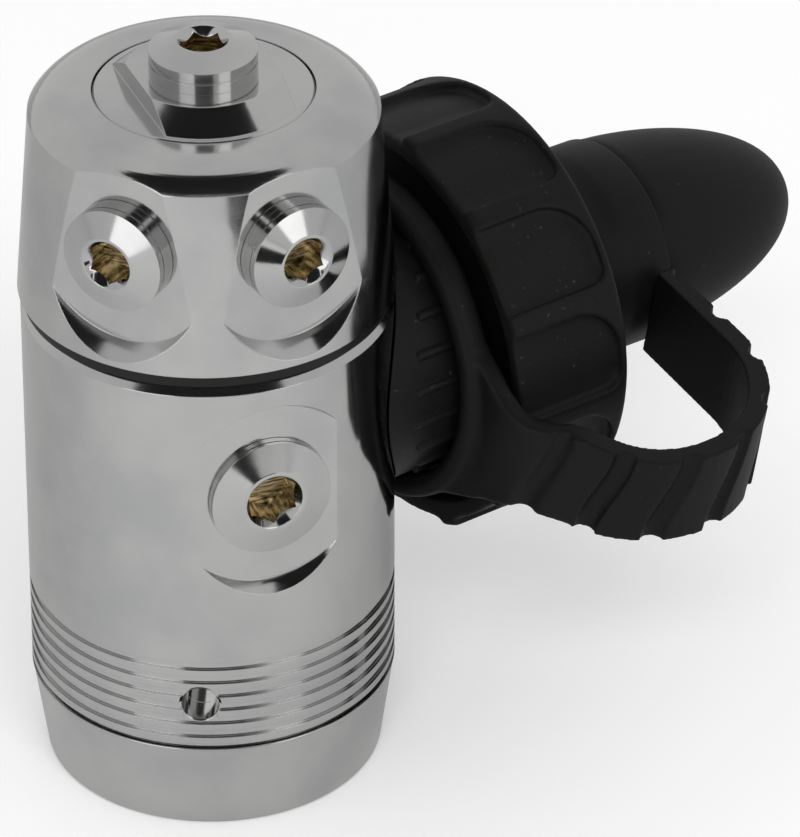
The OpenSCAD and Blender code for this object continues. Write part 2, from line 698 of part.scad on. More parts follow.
// Swivel retainer: the big screw that holds the turret down, hollow for the gas
module swivel_retainer() color("silver") difference() {
    union() {
        turned([[0, retainer_low], [retainer_thread_r - thread_lead, retainer_low],
                [retainer_thread_r, retainer_low + thread_lead],
                [retainer_thread_r, spigot_top + thread_room],
                [retainer_stem_d / 2, spigot_top + thread_room], [retainer_stem_d / 2, roof_z - land_lead],
                [land_r, roof_z - land_lead], [land_r, land_ring_z - land_w / 2],
                [land_r - land_depth, land_ring_z - land_w / 2],
                [land_r - land_depth, land_ring_z + land_w / 2], [land_r, land_ring_z + land_w / 2],
                [land_r, head_z + swivel_play], [retainer_d / 2 - edge, head_z + swivel_play],
                [retainer_d / 2, head_z + swivel_play + edge],
                [retainer_d / 2, turret_top - edge], [retainer_d / 2 - edge, turret_top], [0, turret_top]]);
        intersection() {
            turned([[0, turret_top - edge], [boss_foot_d / 2, turret_top - edge],
                    [boss_foot_d / 2, turret_top], [boss_top_d / 2, boss_top], [0, boss_top]]);
            rotate([0, 0, boss_turn]) translate([-retainer_d, -boss_flats / 2, turret_top - 1])
                cube([2 * retainer_d, boss_flats, boss_h + 2]);
        }
    }
    port(low_thread_d / 2, low_thread_d / 2 + ring_seat, low_thread_l + thread_room, boss_top);
    translate([0, 0, retainer_low - 1]) cylinder(h = boss_top - retainer_low, d = retainer_bore_d);
    for (turn = [0, 90]) facing(turn, (spigot_top + roof_z) / 2)
        translate([0, 0, -retainer_stem_d]) cylinder(h = 2 * retainer_stem_d, d = gas_hole_d);
}

// Low-pressure plugs, one in each turret port
module low_pressure_plugs() color("silver") for (turn = port_turns) facing(turn, low_port_z)
    translate([0, 0, low_flat]) low_pressure_plug();

// O-rings under the low-pressure plugs
module low_pressure_orings() color("black") for (turn = port_turns) facing(turn, low_port_z)
    translate([0, 0, low_flat]) plug_oring(low_thread_d / 2);

// Low-pressure plug in the retainer's axial port
module top_plug() color("silver") translate([0, 0, boss_top]) low_pressure_plug(top_head_h);

// O-ring under it
module top_plug_oring() color("black") translate([0, 0, boss_top]) plug_oring(low_thread_d / 2);

// High-pressure plugs, one to each side of the inlet
module high_pressure_plugs() color("silver") for (side = [-1, 1]) facing(side * high_turn, high_port_z)
    translate([0, 0, high_flat]) high_pressure_plug();

// O-rings under the high-pressure plugs
module high_pressure_orings() color("black") for (side = [-1, 1]) facing(side * high_turn, high_port_z)
    translate([0, 0, high_flat]) plug_oring(high_thread_d / 2);

// Inlet stem: screws into the body, clamps the collar and carries the coupling
module din_stem() color("silver") on_inlet() difference() {
    neck_r = stem_thread_d / 2 - neck_cut;
    turned([[0, inlet_flat - stem_thread_l + edge], [stem_thread_d / 2, inlet_flat - stem_thread_l + edge],
            [stem_thread_d / 2, inlet_flat - plug_neck_l], [neck_r, inlet_flat - plug_neck_l],
            [neck_r, inlet_flat], [pilot_r, inlet_flat], [pilot_r, inlet_flat + pilot_w],
            [flange_d / 2, inlet_flat + pilot_w], [flange_d / 2, collar_front],
            [shank_d / 2, collar_front], [shank_d / 2, nose_back], [nose_d / 2, nose_back],
            [nose_d / 2, nose_front - nose_bevel], [nose_d / 2 - nose_bevel, nose_front],
            [nose_ring_r + nose_groove_w / 2, nose_front],
            [nose_ring_r + nose_groove_w / 2, nose_front - nose_groove_h],
            [nose_ring_r - nose_groove_w / 2, nose_front - nose_groove_h],
            [nose_ring_r - nose_groove_w / 2, nose_front], [0, nose_front]]);
    translate([0, 0, inlet_flat - stem_thread_l]) cylinder(h = nose_front, d = stem_bore_d);
    translate([0, 0, filter_back - edge]) cylinder(h = nose_front, r = filter_r + fit);
}
filter_r = 5.5;
filter_l = 7;
filter_rim_h = 0.8;
clip_seat = 1.4;
filter_back = nose_front - filter_l;
nose_ring_r = (filter_r + nose_d / 2) / 2;
nose_groove_w = 2;
nose_groove_h = 1.4;
nose_tube_r = 0.78;

// O-ring between the stem and the body
module stem_oring() color("black") on_inlet() translate([0, 0, inlet_flat - plug_neck_l / 2])
    oring(stem_thread_d / 2 - neck_cut + ring_tube_r + ring_slack, ring_tube_r);

// O-ring in the stem's nose, which seals on the cylinder valve
module nose_oring() color("black") on_inlet()
    translate([0, 0, nose_front - nose_groove_h + nose_tube_r + ring_slack]) oring(nose_ring_r, nose_tube_r);

// Sintered cone that filters the gas
module inlet_filter() color("darkgoldenrod") on_inlet()
    turned([[0, filter_back], [stem_bore_d / 2 - edge, filter_back],
            [filter_r - filter_rim_h, nose_front - clip_seat - filter_rim_h],
            [filter_r, nose_front - clip_seat - filter_rim_h], [filter_r, nose_front - clip_seat],
            [0, nose_front - clip_seat]]);

// Snap ring that holds the filter
module filter_clip() color("dimgray") on_inlet() difference() {
    translate([0, 0, nose_front - clip_seat + fit]) cylinder(h = clip_t, r = filter_r);
    translate([0, 0, nose_front - clip_seat]) cylinder(h = 2 * clip_t, r = filter_r - clip_w);
    translate([0, -clip_gap / 2, nose_front - clip_seat]) cube([filter_r + 1, clip_gap, 2 * clip_t]);
}
clip_t = 0.8;
clip_w = 1.1;
clip_gap = 1.6;

// Coupling: turns on the stem; its thread screws into the cylinder valve
module din_coupling() color("silver") on_inlet() difference() {
    thread_r = coupling_thread_d / 2;
    root_r = thread_r - thread_depth;
    thread_start = wheel_front + thread_pitch * 0.65;
    ridge_count = floor((coupling_front - thread_start - thread_pitch / 2) / thread_pitch);
    turned(concat(
        [[0, hub_back], [hub_r - fit, hub_back], [hub_r - fit, wheel_front], [root_r, wheel_front]],
        [for (i = [0:ridge_count - 1]) let (x = thread_start + i * thread_pitch) each [
            [root_r, x], [thread_r, x + thread_pitch * 0.4], [thread_r, x + thread_pitch * 0.6],
            [root_r, x + thread_pitch]]],
        [[root_r, coupling_front], [0, coupling_front]]
    ));
    translate([0, 0, hub_back - 1]) cylinder(h = coupling_front - hub_back + 2, r = shank_d / 2 + running);
}

// A finger pocket's outline: open at the back, with one small and one large corner
module pocket_outline() {
    half = pocket_w / 2;
    polygon(concat(
        [[-wheel_round, -half]],
        arc(pocket_l - pocket_small_r, pocket_small_r - half, pocket_small_r, -90, 0, 5),
        arc(pocket_l - pocket_big_r, half - pocket_big_r, pocket_big_r, 0, 90, 8),
        [[-wheel_round, half]]
    ));
}

// Handwheel: a moulded grip pressed onto the coupling, with finger pockets round its rim
module handwheel() color([0.12, 0.12, 0.13]) on_inlet() difference() {
    turned(concat(
        [[hub_r, wheel_back]],
        arc(wheel_r - wheel_round, wheel_back + wheel_round, wheel_round, -90, 0, 6),
        arc(wheel_r - wheel_round, wheel_front - wheel_round, wheel_round, 0, 90, 6),
        [[hub_r, wheel_front]]
    ));
    turned([[hub_r + wheel_core, wheel_back - 1], [wheel_r - wheel_rim, wheel_back - 1],
            [wheel_r - wheel_rim - edge, wheel_back + wheel_recess],
            [hub_r + wheel_core, wheel_back + wheel_recess]]);
    for (i = [0:pocket_count - 1]) round_inlet(pocket_turn + (i + 0.5) * 360 / pocket_count)
        translate([wheel_r - pocket_depth, 0, wheel_back]) rotate([0, 90, 0]) rotate([0, 0, 180])
            linear_extrude(height = wheel_rim) pocket_outline();
}
wheel_core = 1.5;
wheel_rim = 3.2;

// Saddle collar: a moulded sleeve between the body and the handwheel, held by the stem
module inlet_collar() color([0.1, 0.1, 0.11]) difference() {
    union() {
        on_inlet() translate([0, 0, body_r / 4]) cylinder(h = collar_front - body_r / 4, r = collar_r);
        intersection() {
            on_inlet() for (i = [0:rib_count - 1]) round_inlet(rib_turn + i * 360 / rib_count)
                translate([collar_r - 1, -rib_w / 2, body_r / 4])
                    cube([1 + rib_h, rib_w, collar_front - body_r / 4]);
            difference() {
                translate([0, 0, inlet_z - body_r]) cylinder(h = body_d, r = body_r + collar_front);
                translate([0, 0, inlet_z - body_r - 1]) cylinder(h = body_d + 2, r = body_r + rib_setback);
            }
        }
    }
    translate([0, 0, inlet_z - body_d]) cylinder(h = top_z - inlet_z + body_d, r = body_r + fit);
    translate([0, 0, top_z - 0.01]) cylinder(h = body_d, r = max(turret_r, body_r) + end_play);
    on_inlet() {
        cylinder(h = collar_front + 1, r = pilot_r + fit);
        translate([0, 0, inlet_flat + pilot_w]) cylinder(h = collar_front, r = flange_d / 2 + fit);
    }
}

// A rectangle with round corners, centred
module soft_rect(w, h, r) {
    square([w - 2 * r, h], center = true);
    square([w, h - 2 * r], center = true);
    for (x = [-1, 1], y = [-1, 1]) translate([x * (w / 2 - r), y * (h / 2 - r)]) circle(r, $fn = 32);
}

// Strap ring: the loop of the cap's strap that sits round the collar
module strap_ring() color([0.1, 0.1, 0.11]) on_inlet() rotate_extrude()
    translate([ring_r + ring_t / 2, (ring_back + ring_front) / 2]) soft_rect(ring_t, ring_w, 1.2);

// Middle line of the strap, as [x, distance from the inlet's axis] points, each with the
// direction in which its outer side lies
function strap_line() = concat(
    [[strap_x, ring_r + ring_t - 0.4, 180]],
    [for (i = [0:6]) let (a = 180 - knee_turn * i / 6)
        [strap_x + knee_r + knee_r * cos(a), strap_knee_r - knee_run + knee_r * sin(a), a]],
    [for (i = [0:20]) let (a = 90 + strap_slope - (90 + strap_slope) * i / 20)
        [loop_x + strap_loop_r * cos(a), loop_rise + strap_loop_r * sin(a), a]],
    [[loop_end_x, cap_r + 0.2, 0]]
);

// Strap: a moulded band from the ring, over the wheel, to the cap
module strap() color([0.1, 0.1, 0.11]) on_inlet() round_inlet(strap_turn) difference() {
    line = strap_line();
    half = strap_t / 2;
    outline = concat(
        [for (p = line) polar(p[1], p[0], half, 90 - p[2])],
        [for (i = [len(line) - 1:-1:0]) let (p = line[i]) polar(p[1], p[0], -half, 90 - p[2])]
    );
    intersection() {
        translate([0, strap_root_w / 2, 0]) rotate([90, 0, 0]) linear_extrude(height = strap_root_w)
            polygon(outline);
        strap_band();
    }
    for (i = [0:strap_groove_count - 1]) let (a = 100 - 70 * i / (strap_groove_count - 1))
        translate([loop_rise + (strap_loop_r + half) * sin(a), 0, loop_x + (strap_loop_r + half) * cos(a)])
            rotate([90, 0, 0]) cylinder(h = strap_root_w, r = strap_groove_depth, center = true, $fn = 24);
    cylinder(h = cap_seam_x + strap_w, r = cap_r + fit);
    cylinder(h = wheel_back, r = ring_r + ring_t - 0.3);
}

// The strap's face: a band with a flared root at the ring
module strap_band() {
    flare = (strap_root_w - strap_w) / 2;
    root = ring_r + ring_t - 1.5;
    translate([0, -strap_w / 2, 0]) cube([wheel_r + 2 * strap_loop_r, strap_w, cap_seam_x + strap_w]);
    translate([root, -strap_root_w / 2, 0]) cube([1.3, strap_root_w, wheel_back]);
    translate([root + 1.3, 0, 0]) for (side = [-1, 1]) difference() {
        translate([0, side < 0 ? -strap_root_w / 2 : 0, 0]) cube([flare, strap_root_w / 2, wheel_back]);
        translate([flare, side * strap_root_w / 2, -1]) cylinder(h = wheel_back + 2, r = flare);
    }
}

// Outline of the cap's nose, as [radius, height] points from the seam to the tip
function nose_outline(r, length, steps) =
    [for (i = [0:steps]) let (u = sin(90 * i / steps)) [r * pow(1 - pow(u, 1.7), 1 / 2.3), length * u]];

// Dust cap: a hollow rubber cap pushed over the coupling's thread
module dust_cap() color([0.1, 0.1, 0.11]) on_inlet() difference() {
    lip_r = cap_lip_d / 2;
    neck_r = cap_r - cap_neck;
    neck_x = cap_mouth + cap_lip_w + 2 * neck_flare;
    union() {
        turned(concat(
            [[0, cap_mouth]],
            arc(lip_r - lip_round, cap_mouth + lip_round, lip_round, -90, 0, 4),
            arc(lip_r - lip_round, cap_mouth + cap_lip_w - lip_round, lip_round, 0, 60, 4),
            [[neck_r, neck_x - neck_flare], [neck_r, neck_x + cap_neck_w],
             [cap_r, neck_x + cap_neck_w + neck_flare], [cap_r, cap_seam_x], [0, cap_seam_x]]
        ));
        translate([0, 0, cap_seam_x - 0.01])
            turned(concat([[0, 0]], nose_outline(cap_nose_r, cap_nose_l, 24)));
    }
    turned([[0, cap_mouth - 1], [cap_bore_r, cap_mouth - 1], [cap_bore_r, nose_back],
            [cap_room_r, nose_back + nose_bevel], [cap_room_r, cap_seam_x + cap_nose_l * 0.25],
            [cap_room_r * 0.82, cap_seam_x + cap_nose_l * 0.45],
            [cap_nose_r * 0.45, cap_tip - cap_nose_l * 0.25 - cap_wall],
            [0, cap_tip - cap_nose_l * 0.25 - cap_wall]]);
}
lip_round = 0.8;
cap_neck = 0.5;
neck_flare = 0.9;
cap_neck_w = 2.6;

main_body();
diaphragm_clamp();
end_cap();
environment_diaphragm();
load_transmitter();
adjusting_screw();
main_spring();
spring_pad();
main_diaphragm();
valve_lifter();
valve_seat();
valve_seat_oring();
poppet();
poppet_pad();
poppet_spring();
balance_plug();
balance_oring();
swivel_washer();
turret();
turret_orings();
swivel_retainer();
low_pressure_plugs();
low_pressure_orings();
top_plug();
top_plug_oring();
high_pressure_plugs();
high_pressure_orings();
din_stem();
stem_oring();
nose_oring();
inlet_filter();
filter_clip();
din_coupling();
handwheel();
inlet_collar();
strap_ring();
strap();
dust_cap();
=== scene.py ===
import bpy
import math
from mathutils import Matrix, Vector


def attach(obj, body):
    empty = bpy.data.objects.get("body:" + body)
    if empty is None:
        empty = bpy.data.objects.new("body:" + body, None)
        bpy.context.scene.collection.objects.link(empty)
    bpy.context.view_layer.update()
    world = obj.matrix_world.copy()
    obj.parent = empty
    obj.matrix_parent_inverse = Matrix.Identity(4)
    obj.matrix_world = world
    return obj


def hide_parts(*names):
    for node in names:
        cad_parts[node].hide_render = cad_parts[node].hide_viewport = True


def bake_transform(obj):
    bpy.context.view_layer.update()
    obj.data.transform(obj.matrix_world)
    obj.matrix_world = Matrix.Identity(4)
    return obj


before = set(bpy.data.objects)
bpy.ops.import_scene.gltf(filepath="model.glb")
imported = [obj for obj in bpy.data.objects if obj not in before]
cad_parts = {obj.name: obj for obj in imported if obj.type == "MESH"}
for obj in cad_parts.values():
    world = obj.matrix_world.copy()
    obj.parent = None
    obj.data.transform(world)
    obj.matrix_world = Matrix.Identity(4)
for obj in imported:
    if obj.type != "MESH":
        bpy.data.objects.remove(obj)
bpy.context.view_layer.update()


# ---- Body, clamp and end cap ------------------------------------------------------------
# Brass bar, turned, drilled and polished, then plated with nickel and chromium. The clamp
# screws up into the body and holds the main diaphragm; the end cap screws into the clamp.

class Wire:
    """One output of a finish's nodes. Sums of wires and numbers become Math nodes."""

    def __init__(self, finish, socket):
        self.finish, self.socket = finish, socket

    def maths(self, operation, *values):
        return self.finish.node("ShaderNodeMath", {"operation": operation}, dict(enumerate(values)))

    def __add__(self, other): return self.maths("ADD", self, other)
    def __radd__(self, other): return self.maths("ADD", other, self)
    def __rmul__(self, other): return self.maths("MULTIPLY", other, self)
    def __truediv__(self, other): return self.maths("DIVIDE", self, other)


class Finish:
    """A surface finish: one material, with the shader that its nodes feed."""

    def __init__(self, name, **plain):
        self.material = bpy.data.materials.new(name)
        self.material.use_nodes = True
        self.tree = self.material.node_tree
        self.shader = self.tree.nodes["Principled BSDF"]
        self.feed(**plain)

    def node(self, kind, settings=None, sockets=None, out=0):
        made = self.tree.nodes.new(kind)
        for key, value in (settings or {}).items():
            if key == "stops":
                while len(made.color_ramp.elements) < len(value):
                    made.color_ramp.elements.new(1)
                for stop, (place, colour) in zip(made.color_ramp.elements, value):
                    stop.position, stop.color = place, (*colour, 1)
            else:
                setattr(made, key, value)
        for key, value in (sockets or {}).items():
            self.plug(made.inputs[key], value)
        return Wire(self, made.outputs[out])

    def plug(self, socket, value):
        if isinstance(value, Wire):
            self.tree.links.new(value.socket, socket)
        else:
            socket.default_value = value

    def feed(self, **inputs):
        for key, value in inputs.items():
            title = key.replace("_", " ").title().replace("Ior", "IOR")
            self.plug(self.shader.inputs[title], value)

    def place(self, scale=(1, 1, 1)):
        spot = self.node("ShaderNodeTexCoord", out="Object")
        return self.node("ShaderNodeMapping", None, {"Vector": spot, "Scale": scale})

    def noise(self, size, scale=(1, 1, 1), detail=2.0):
        """Noise whose features are about size metres across, stretched by scale."""
        return self.node("ShaderNodeTexNoise", None,
                         {"Vector": self.place(scale), "Scale": 1 / size, "Detail": detail})

    def blend(self, share, first, second):
        return self.node("ShaderNodeMix", {"data_type": "RGBA"}, {0: share, 6: first, 7: second}, 2)

    def span(self, value, low, high):
        """0 where value is at low or under it, 1 at high or over it."""
        return self.node("ShaderNodeMapRange", {"interpolation_type": "SMOOTHSTEP"},
                         {"Value": value, "From Min": low, "From Max": high})

    def relief(self, height, depth, strength=1.0, normal=None):
        sockets = {"Height": height, "Distance": depth, "Strength": strength}
        if normal:
            sockets["Normal"] = normal
        return self.node("ShaderNodeBump", None, sockets)

    def soft_edges(self, radius):
        return self.node("ShaderNodeBevel", {"samples": 6}, {"Radius": radius})

    def put_on(self, *nodes):
        for node in nodes:
            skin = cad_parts[node]
            skin.data.materials.clear()
            skin.data.materials.append(self.material)


def chrome(name, grain, edge=0.00012):
    """Bright plating over turned metal: faint tool marks across grain, a fine pearl and
    smudges from handling."""
    clean, smudged = (0.50, 0.50, 0.492, 1), (0.43, 0.432, 0.434, 1)
    plate = Finish(name, metallic=1.0)
    smudge = plate.noise(0.012, detail=5)
    pearl = plate.noise(0.00016, detail=1)
    marks = plate.noise(0.00022, grain, detail=2)
    plate.feed(base_color=plate.blend(plate.span(smudge, 0.35, 0.7), clean, smudged),
               roughness=0.075 + 0.07 * plate.span(smudge, 0.42, 0.75) + 0.05 * pearl,
               normal=plate.relief(0.55 * pearl + marks, 0.0000035, 0.35, plate.soft_edges(edge)))
    return plate


body_chrome = chrome("body_chrome", (0.04, 0.04, 1))
body_chrome.put_on("main_body", "diaphragm_clamp", "end_cap")


# ---- Load train under the diaphragm -----------------------------------------------------
# A rubber membrane keeps the water out of the spring chamber. A moulded plunger carries its
# push past the brass adjusting screw and the steel spring to the brass spring pad.

def rubber(name):
    """Moulded rubber: a fine matt skin with a bloom of talc here and there."""
    black, talc = (0.012, 0.012, 0.012, 1), (0.03, 0.03, 0.03, 1)
    skin = Finish(name)
    bloom = skin.noise(0.006, detail=4)
    skin.feed(base_color=skin.blend(skin.span(bloom, 0.5, 0.75), black, talc),
              roughness=0.45 + 0.18 * bloom,
              normal=skin.relief(skin.noise(0.0003, detail=2), 0.00002, 0.3))
    return skin


def brass(name):
    """Bare machined brass with tool marks and a warmer stain where it has been touched."""
    bright, stained = (0.72, 0.55, 0.27, 1), (0.56, 0.39, 0.17, 1)
    metal = Finish(name, metallic=1.0)
    stain = metal.noise(0.005, detail=4)
    metal.feed(base_color=metal.blend(metal.span(stain, 0.4, 0.7), bright, stained),
               roughness=0.22 + 0.15 * stain,
               normal=metal.relief(metal.noise(0.0002, (0.05, 0.05, 1)), 0.00001, 0.4))
    return metal


def pale_moulding(name):
    """Natural plastic, slightly mottled, as it comes from the mould."""
    plastic = Finish(name)
    mottle = plastic.noise(0.003, detail=3)
    plastic.feed(base_color=plastic.blend(mottle, (0.78, 0.75, 0.66, 1), (0.66, 0.62, 0.52, 1)),
                 roughness=0.38 + 0.12 * mottle,
                 normal=plastic.relief(plastic.noise(0.0002), 0.00001, 0.2))
    return plastic


def steel(name):
    """Drawn spring wire: grey steel with lengthwise die marks."""
    wire = Finish(name, metallic=1.0)
    drawn = wire.noise(0.0004, (1, 1, 4), detail=3)
    wire.feed(base_color=wire.blend(drawn, (0.42, 0.42, 0.43, 1), (0.30, 0.30, 0.31, 1)),
              roughness=0.25 + 0.2 * drawn, normal=wire.relief(drawn, 0.00001, 0.3))
    return wire


seal_rubber = rubber("seal_rubber")
seal_rubber.put_on("environment_diaphragm", "main_diaphragm")
bare_brass = brass("bare_brass")
bare_brass.put_on("adjusting_screw", "spring_pad")
natural_plastic = pale_moulding("natural_plastic")
natural_plastic.put_on("load_transmitter")
spring_wire = steel("spring_wire")
spring_wire.put_on("main_spring")


# ---- Valve ------------------------------------------------------------------------------
# The lifter on the diaphragm pushes the brass poppet off its seat. Its stem slides in the
# balance plug, and a light steel spring closes it. The pad in its face is white plastic.

bare_brass.put_on("valve_lifter", "valve_seat", "poppet", "balance_plug")
natural_plastic.put_on("poppet_pad")
spring_wire.put_on("poppet_spring")
seal_rubber.put_on("valve_seat_oring", "balance_oring")


# ---- Turret and its retainer ------------------------------------------------------------
# The turret turns on the body's spigot, on a black plastic washer, and the retainer holds
# it down: a big screw with two wrench flats. Both are chromed brass, milled at the ports.

washer_plastic = Finish("washer_plastic", specular_ior_level=0.2)
washer_wear = washer_plastic.noise(0.002, (0.3, 0.3, 1), detail=4)
washer_plastic.feed(
    base_color=washer_plastic.blend(washer_wear, (0.007, 0.0066, 0.0064, 1),
                                    (0.013, 0.0122, 0.0118, 1)),
    roughness=0.3 + 0.2 * washer_wear,
    normal=washer_plastic.relief(washer_wear, 0.00002, 0.3, washer_plastic.soft_edges(0.0003)))
washer_plastic.put_on("swivel_washer")
turret_chrome = chrome("turret_chrome", (0.05, 0.05, 0.8), edge=0.00022)
turret_chrome.put_on("turret")
retainer_chrome = chrome("retainer_chrome", (1, 1, 0.05), edge=0.0002)
retainer_chrome.put_on("swivel_retainer")
seal_rubber.put_on("turret_orings")


# ---- Port plugs -------------------------------------------------------------------------
# Turned brass plugs, chromed outside. The plating doesn't reach into the broached hex
# sockets, which show bare brass. Each seals on an O-ring under its head.

def pick(*pieces):
    """Selects these pieces alone. The last one is active."""
    bpy.ops.object.select_all(action="DESELECT")
    for piece in pieces:
        piece.select_set(True)
    bpy.context.view_layer.objects.active = pieces[-1]


def turned(name, outline, steps):
    """A turned shape: (distance from the axis, height) points in millimetres, drawn one
    after another and spun round the axis."""
    bpy.ops.object.select_all(action="DESELECT")
    bpy.ops.mesh.primitive_plane_add(size=0.001)
    piece = bpy.context.object
    piece.name = piece.data.name = name
    bpy.ops.object.mode_set(mode="EDIT")
    bpy.ops.mesh.select_mode(type="VERT")
    bpy.ops.mesh.select_all(action="SELECT")
    bpy.ops.mesh.merge(type="CENTER")
    bpy.ops.transform.translate(value=(outline[0][0] / 1000, 0, outline[0][1] / 1000))
    for (r0, z0), (r1, z1) in zip(outline, outline[1:]):
        bpy.ops.mesh.extrude_region_move(
            TRANSFORM_OT_translate={"value": ((r1 - r0) / 1000, 0, (z1 - z0) / 1000)})
    bpy.ops.mesh.select_all(action="SELECT")
    bpy.ops.mesh.spin(steps=steps, angle=math.tau, center=(0, 0, 0), axis=(0, 0, 1))
    bpy.ops.mesh.select_all(action="SELECT")
    bpy.ops.mesh.remove_doubles(threshold=0.000002)
    bpy.ops.mesh.normals_make_consistent(inside=False)
    bpy.ops.object.mode_set(mode="OBJECT")
    bpy.ops.object.transform_apply(location=True, rotation=True, scale=True)
    return piece


def cylinder(vertices, radius, height, middle, rotation=(0, 0, 0)):
    """A cutter, in millimetres."""
    bpy.ops.object.select_all(action="DESELECT")
    bpy.ops.mesh.primitive_cylinder_add(vertices=vertices, radius=radius / 1000, depth=height / 1000,
                                        location=[c / 1000 for c in middle], rotation=rotation)
    return bpy.context.object


def modify(piece, kind, **settings):
    bpy.context.view_layer.objects.active = piece
    change = piece.modifiers.new(kind.lower(), kind)
    for key, value in settings.items():
        setattr(change, key, value)
    bpy.ops.object.modifier_apply(modifier=change.name)


def cut(piece, cutter):
    modify(piece, "BOOLEAN", object=cutter, operation="DIFFERENCE", solver="EXACT")
    bpy.data.objects.remove(cutter)


def facing(turn, height, out=0.0):
    """The place of a piece whose axis points level, out from the body's axis."""
    return (Matrix.Translation((0, 0, height / 1000)) @ Matrix.Rotation(math.radians(turn), 4, "Z")
            @ Matrix.Rotation(math.pi / 2, 4, "Y") @ Matrix.Translation((0, 0, out / 1000)))


def joined(name, master, places):
    """Copies of one modelled piece, each with its own mesh, joined under one name."""
    copies = []
    for place in places:
        copy = master.copy()
        copy.data = master.data.copy()
        copy.data.transform(place)
        bpy.context.scene.collection.objects.link(copy)
        copies.append(copy)
    bpy.data.objects.remove(master)
    pick(*copies[1:], copies[0])
    if len(copies) > 1:
        bpy.ops.object.join()
    copies[0].name = copies[0].data.name = name
    return copies[0]


def plug_metal():
    """Bare brass whose colour runs in streaks along the socket, from near black to bright gold."""
    metal = Finish("socket_brass", metallic=1.0)
    streak = metal.noise(0.0003, (0.15, 0.15, 1), detail=4)
    stops = [(0.36, (0.1, 0.078, 0.048)), (0.5, (0.45, 0.37, 0.23)), (0.64, (0.95, 0.84, 0.6))]
    metal.feed(base_color=metal.node("ShaderNodeValToRGB", {"stops": stops}, {"Fac": streak}),
               roughness=0.2 + 0.15 * streak, normal=metal.relief(streak, 0.00001, 0.4))
    return metal


plug_chrome = chrome("plug_chrome", (0.3, 0.3, 0.3), edge=0.00005)
socket_brass = plug_metal()


def port_plug(head_r, head_h, bevel_h, top_r, thread_r, thread_l, across):
    """One plug, standing on its port with its axis upright."""
    chamfer, undercut_h, seam_w, seam_depth = 0.6, 1.9, 0.1, 0.14
    corner_r = across / 2 / math.cos(math.pi / 6)
    top, neck_r, mouth_r = head_h + bevel_h, thread_r - 0.9, corner_r + 0.3
    seam, socket_floor = head_h / 2, top - mouth_r * 0.35
    plug = turned("plug", [
        (0, -thread_l), (thread_r - chamfer, -thread_l), (thread_r, -thread_l + chamfer),
        (thread_r, -undercut_h), (neck_r, -undercut_h), (neck_r, 0), (head_r, 0),
        (head_r, seam - seam_w), (head_r - seam_depth, seam - seam_w),
        (head_r - seam_depth, seam + seam_w), (head_r, seam + seam_w), (head_r, head_h),
        (top_r + 0.04, top - 0.03), (top_r - 0.04, top), (mouth_r + 0.05, top),
        (mouth_r - 0.05, top - 0.06), (across / 2, socket_floor), (0, socket_floor)], 128)
    depth = across * 0.8
    broach = cylinder(6, corner_r, 2 * depth, (0, 0, top))
    bpy.ops.transform.rotate(value=math.pi / 6, orient_axis="Z", center_override=(0, 0, 0))
    cut(plug, broach)
    for face in plug.data.polygons:      # the socket's faces get the second material
        in_socket = math.hypot(*face.center[:2]) < across / 2000 * 1.12
        if in_socket and face.center.z > (top - depth * 1.01) / 1000:
            face.material_index = 1
    plug.data.materials.append(plug_chrome.material)
    plug.data.materials.append(socket_brass.material)
    pick(plug)
    bpy.ops.object.shade_smooth_by_angle(angle=math.radians(28))
    return plug


def plug_set(name, master, places, body):
    plugs = joined(name, master, places)
    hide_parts(name)
    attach(plugs, body)


# Heights of the ports and how far out their flats lie, in millimetres, and their directions
LOW_PORT_H, LOW_FLAT, LOW_TURNS = 78, 19.7, (-154.5, -94.5, 25.5, 85.5)
HIGH_PORT_H, HIGH_FLAT, HIGH_TURNS = 46.2, 20.3, (105, -105)
TOP_PORT_H = 92.4

small_plug = {"head_r": 6.35, "bevel_h": 1.2, "top_r": 3.45, "thread_r": 4.76, "thread_l": 6.5,
              "across": 4.76}
plug_set("low_pressure_plugs", port_plug(head_h=2, **small_plug),
         [facing(turn, LOW_PORT_H, LOW_FLAT) for turn in LOW_TURNS], "turret")
plug_set("top_plug", port_plug(head_h=2.7, **small_plug),
         [Matrix.Translation((0, 0, TOP_PORT_H / 1000)) @ Matrix.Rotation(0.3, 4, "Z")], "stage")
plug_set("high_pressure_plugs", port_plug(head_r=7.35, head_h=0.9, bevel_h=1.1, top_r=4.0,
                                          thread_r=5.55, thread_l=8, across=5.56),
         [facing(turn, HIGH_PORT_H, HIGH_FLAT) for turn in HIGH_TURNS], "stage")
seal_rubber.put_on("low_pressure_orings", "top_plug_oring", "high_pressure_orings")


# ---- Inlet stem and coupling ------------------------------------------------------------
# The stem screws into the body and carries the threaded coupling, which turns on it. Its
# nose holds the sealing O-ring and, behind a snap ring, a cone of sintered bronze.

inlet_chrome = chrome("inlet_chrome", (1, 0.05, 0.05), edge=0.0001)
inlet_chrome.put_on("din_stem", "din_coupling")
seal_rubber.put_on("stem_oring", "nose_oring")
bronze = Finish("sintered_bronze", metallic=0.85)
beads = bronze.node("ShaderNodeTexVoronoi", None, {"Vector": bronze.place(), "Scale": 4000.0})
bronze.feed(base_color=bronze.blend(beads, (0.55, 0.36, 0.16, 1), (0.16, 0.09, 0.04, 1)),
            roughness=0.45 + 0.3 * beads, normal=bronze.relief(beads, 0.0001, -0.8))
bronze.put_on("inlet_filter")
spring_wire.put_on("filter_clip")


# ---- Collar and handwheel ---------------------------------------------------------------
# Black glass-filled nylon with a fine eroded grain. The ribbed collar sits between body and
# wheel, clamped by the stem. The wheel is moulded round the coupling, with finger pockets.

